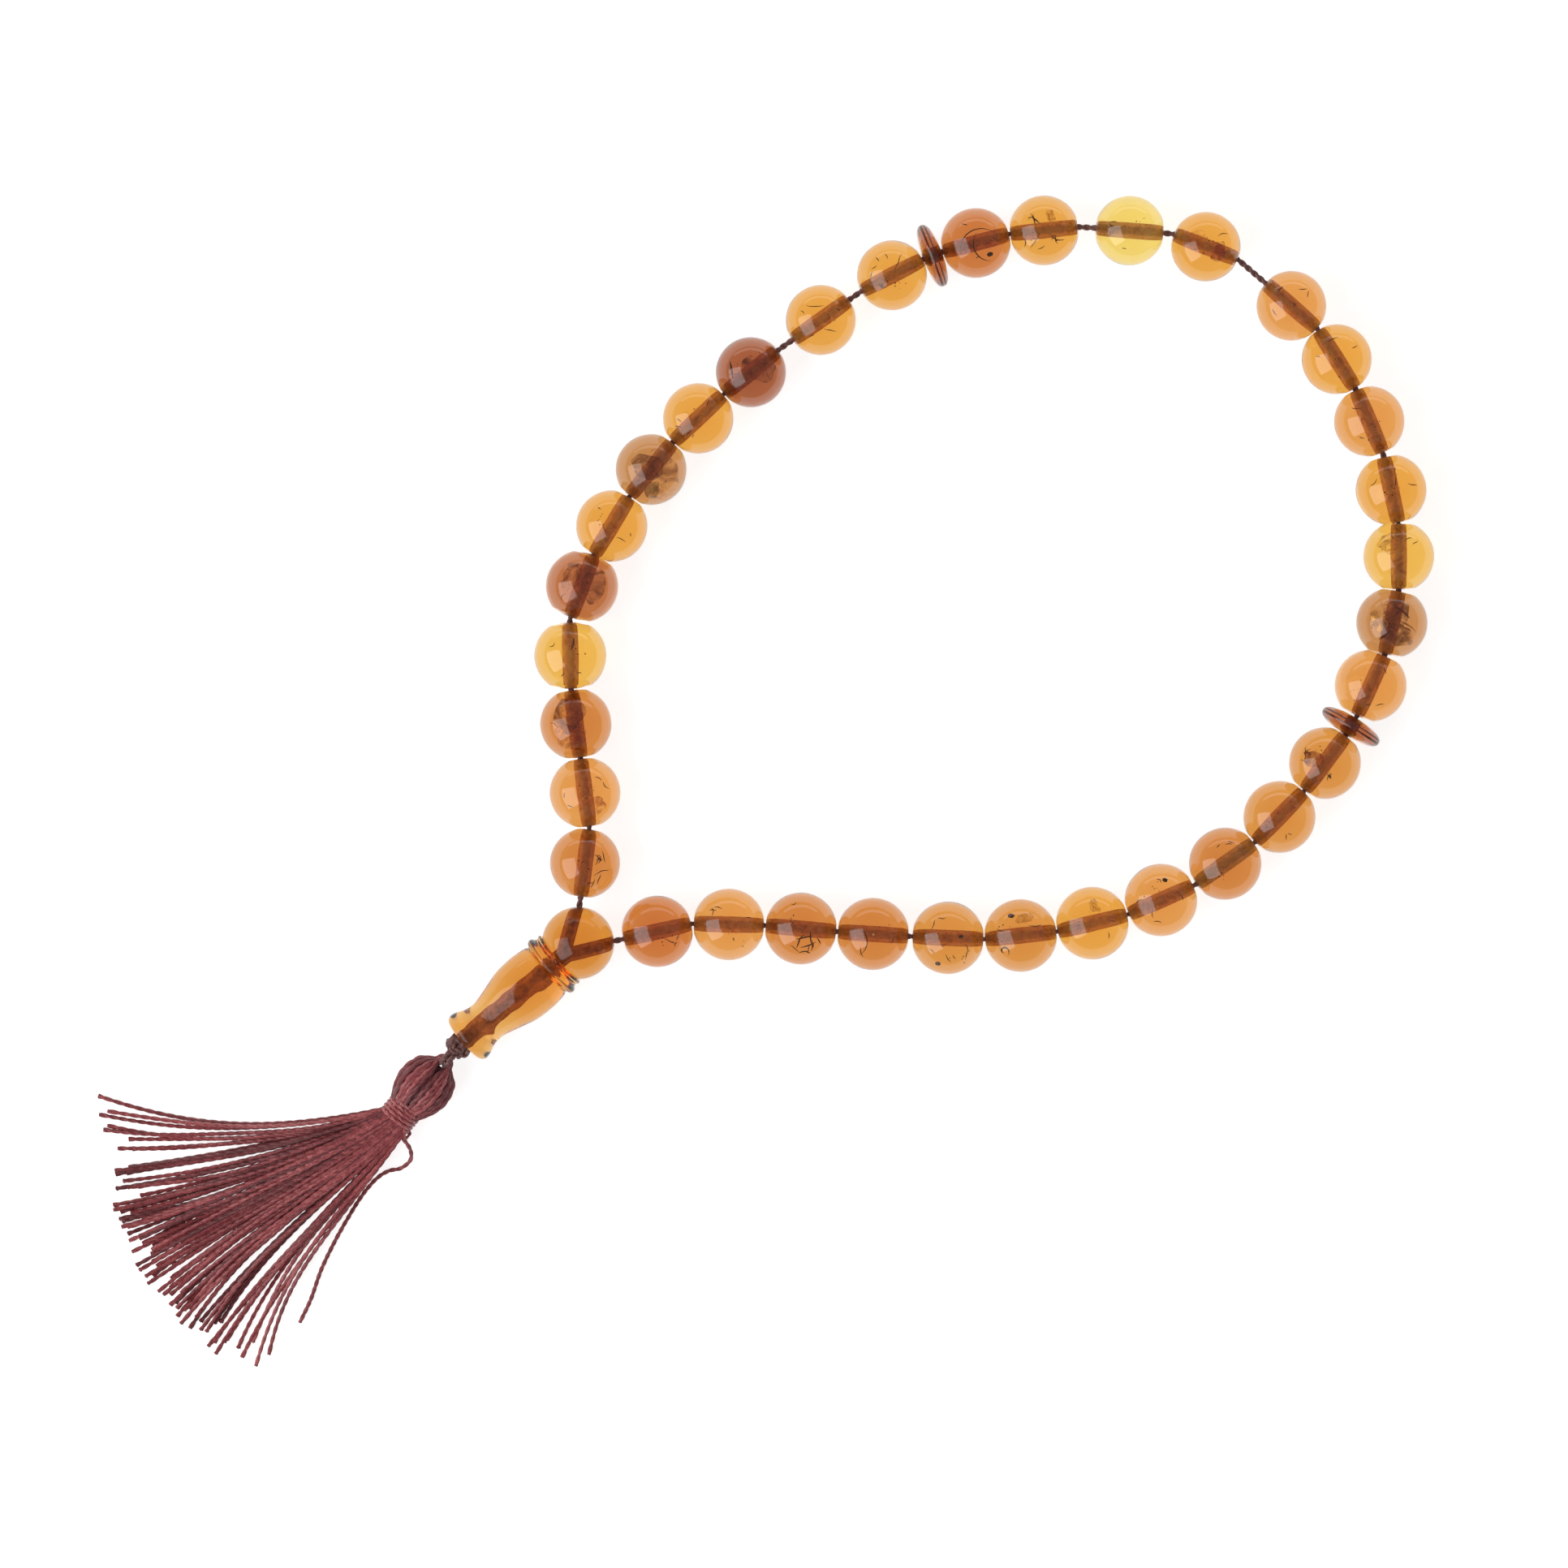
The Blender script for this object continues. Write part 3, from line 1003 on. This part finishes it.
def make_skirt():
    rng = random.Random(11)
    parts, picks = [], []
    bundles = [(177, 1), (180, 2), (183, 2), (187, 3), (191.5, 5), (195, 5), (199, 7),
               (203, 8), (207, 9), (211, 10), (215.5, 10), (219.5, 9), (223.5, 8), (227.5, 6),
               (231.5, 5), (236, 3), (241, 2)]
    count = sum(n for _, n in bundles)
    k = 0
    for middle, n in bundles:
        lean = rng.gauss(0, 1.5)
        for j in range(n):
            u = (k + 0.5) / count
            a = math.radians(middle + (j - (n - 1) / 2) * 0.55 + rng.gauss(0, 0.5))
            layer = rng.choice([0, 1, 2]) if k % 2 else (k // 2) % 3
            reach = rng.uniform(*SKIRT_REACH)
            aim = np.array([math.cos(a), math.sin(a), 0])
            off = (u - 0.5) * 2 * 2.0
            high = (layer - 1) * 1.5 * math.sqrt(max(0, 1 - (off / 2.3)**2))
            start = in_tassel(WRAP_AT + 0.9, off, high)
            tip_z = 0.34 + 0.5 * layer * rng.uniform(0.3, 0.9)
            end = np.array([WRAP[0], WRAP[1], 0]) + aim * reach * MM + UP * tip_z * MM
            first = math.radians(229.5 * 0.3 + math.degrees(a) * 0.7)
            last = a + 0.36 * (a - math.radians(209)) + math.radians(lean + rng.gauss(0, 1.5))
            mid_z = 0.36 + 0.62 * layer
            c1 = start + np.array([math.cos(first), math.sin(first), 0]) * 11 * MM
            c1[2] = max(mid_z + 0.9, 0.7) * MM
            c2 = end - np.array([math.cos(last), math.sin(last), 0]) * reach * 0.42 * MM
            c2[2] = mid_z * MM
            p = bezier(start, c1, c2, end, 90)
            t = np.linspace(0, 1, 90)
            sway = rng.uniform(0.1, 0.4) * np.sin(t * rng.uniform(4, 9) + rng.uniform(0, 6)) * t
            p[:, :2] += np.array([-aim[1], aim[0]]) * sway[:, None] * MM
            p[:, 2] = np.maximum(p[:, 2], 0.335 * MM)
            p = even_path(p, 0.42 * MM)
            s = arc(p)
            flare = 1 + 0.22 * np.clip((s - s[-1] + 1.5 * MM) / (1.5 * MM), 0, 1)
            parts.append(plied(p, THREAD * MM, rng.uniform(2.6, 3.2) * MM, 2, 6,
                               rng.uniform(0, 6), taper=flare))
            odds = [[1, 1, 1, 0], [1, 0, 0, 0], [0, 0, 2, 1]][layer]
            picks.append(rng.choice(odds) if 190 < middle < 230 else rng.choice([0, 0, 2]))
            k += 1
    add_object("tassel_skirt_threads", "tassel", merged(parts), SILKS,
               tinted(parts, picks), replaces=["tassel_skirt"])


make_hanger()
make_head()
make_wrap()
make_tail()
make_skirt()


# ---------------------------------------------------------------- the setting
def make_stage():
    n = Nodes("table")
    tone = n.ramp(n.noise(3, 2), [(0.3, (0.5, 0.5, 0.5)), (0.7, (0.52, 0.52, 0.52))])
    d = n.add("ShaderNodeBsdfDiffuse", {"Color": tone})
    e = n.add("ShaderNodeEmission", {"Color": (1, 1, 1, 1), "Strength": 0.8})
    m = n.add("ShaderNodeAddShader", {0: d.outputs[0], 1: e.outputs[0]})
    material = n.finish(m.outputs[0])
    mesh = bpy.data.meshes.new("table")
    r = 3
    mesh.from_pydata([(-r, -r, 0), (r, -r, 0), (r, r, 0), (-r, r, 0)], [], [[0, 1, 2, 3]])
    mesh.materials.append(material)
    obj = bpy.data.objects.new("table", mesh)
    bpy.context.scene.collection.objects.link(obj)


def make_world(strength):
    world = bpy.data.worlds.new("studio")
    bpy.context.scene.world = world
    world.use_nodes = True
    world.node_tree.nodes["Background"].inputs[0].default_value = (1, 1, 1, 1)
    world.node_tree.nodes["Background"].inputs[1].default_value = strength


make_stage()
make_world(0.35)
area_light("key", (-0.9, -0.3, 0.72), (0, 0, 0), (1.3, 1.1), 12)
area_light("back", (0, 1.2, 0.24), (0, 0, 0), (2.4, 0.22), 2)
bpy.context.scene.view_settings.view_transform = "Standard"
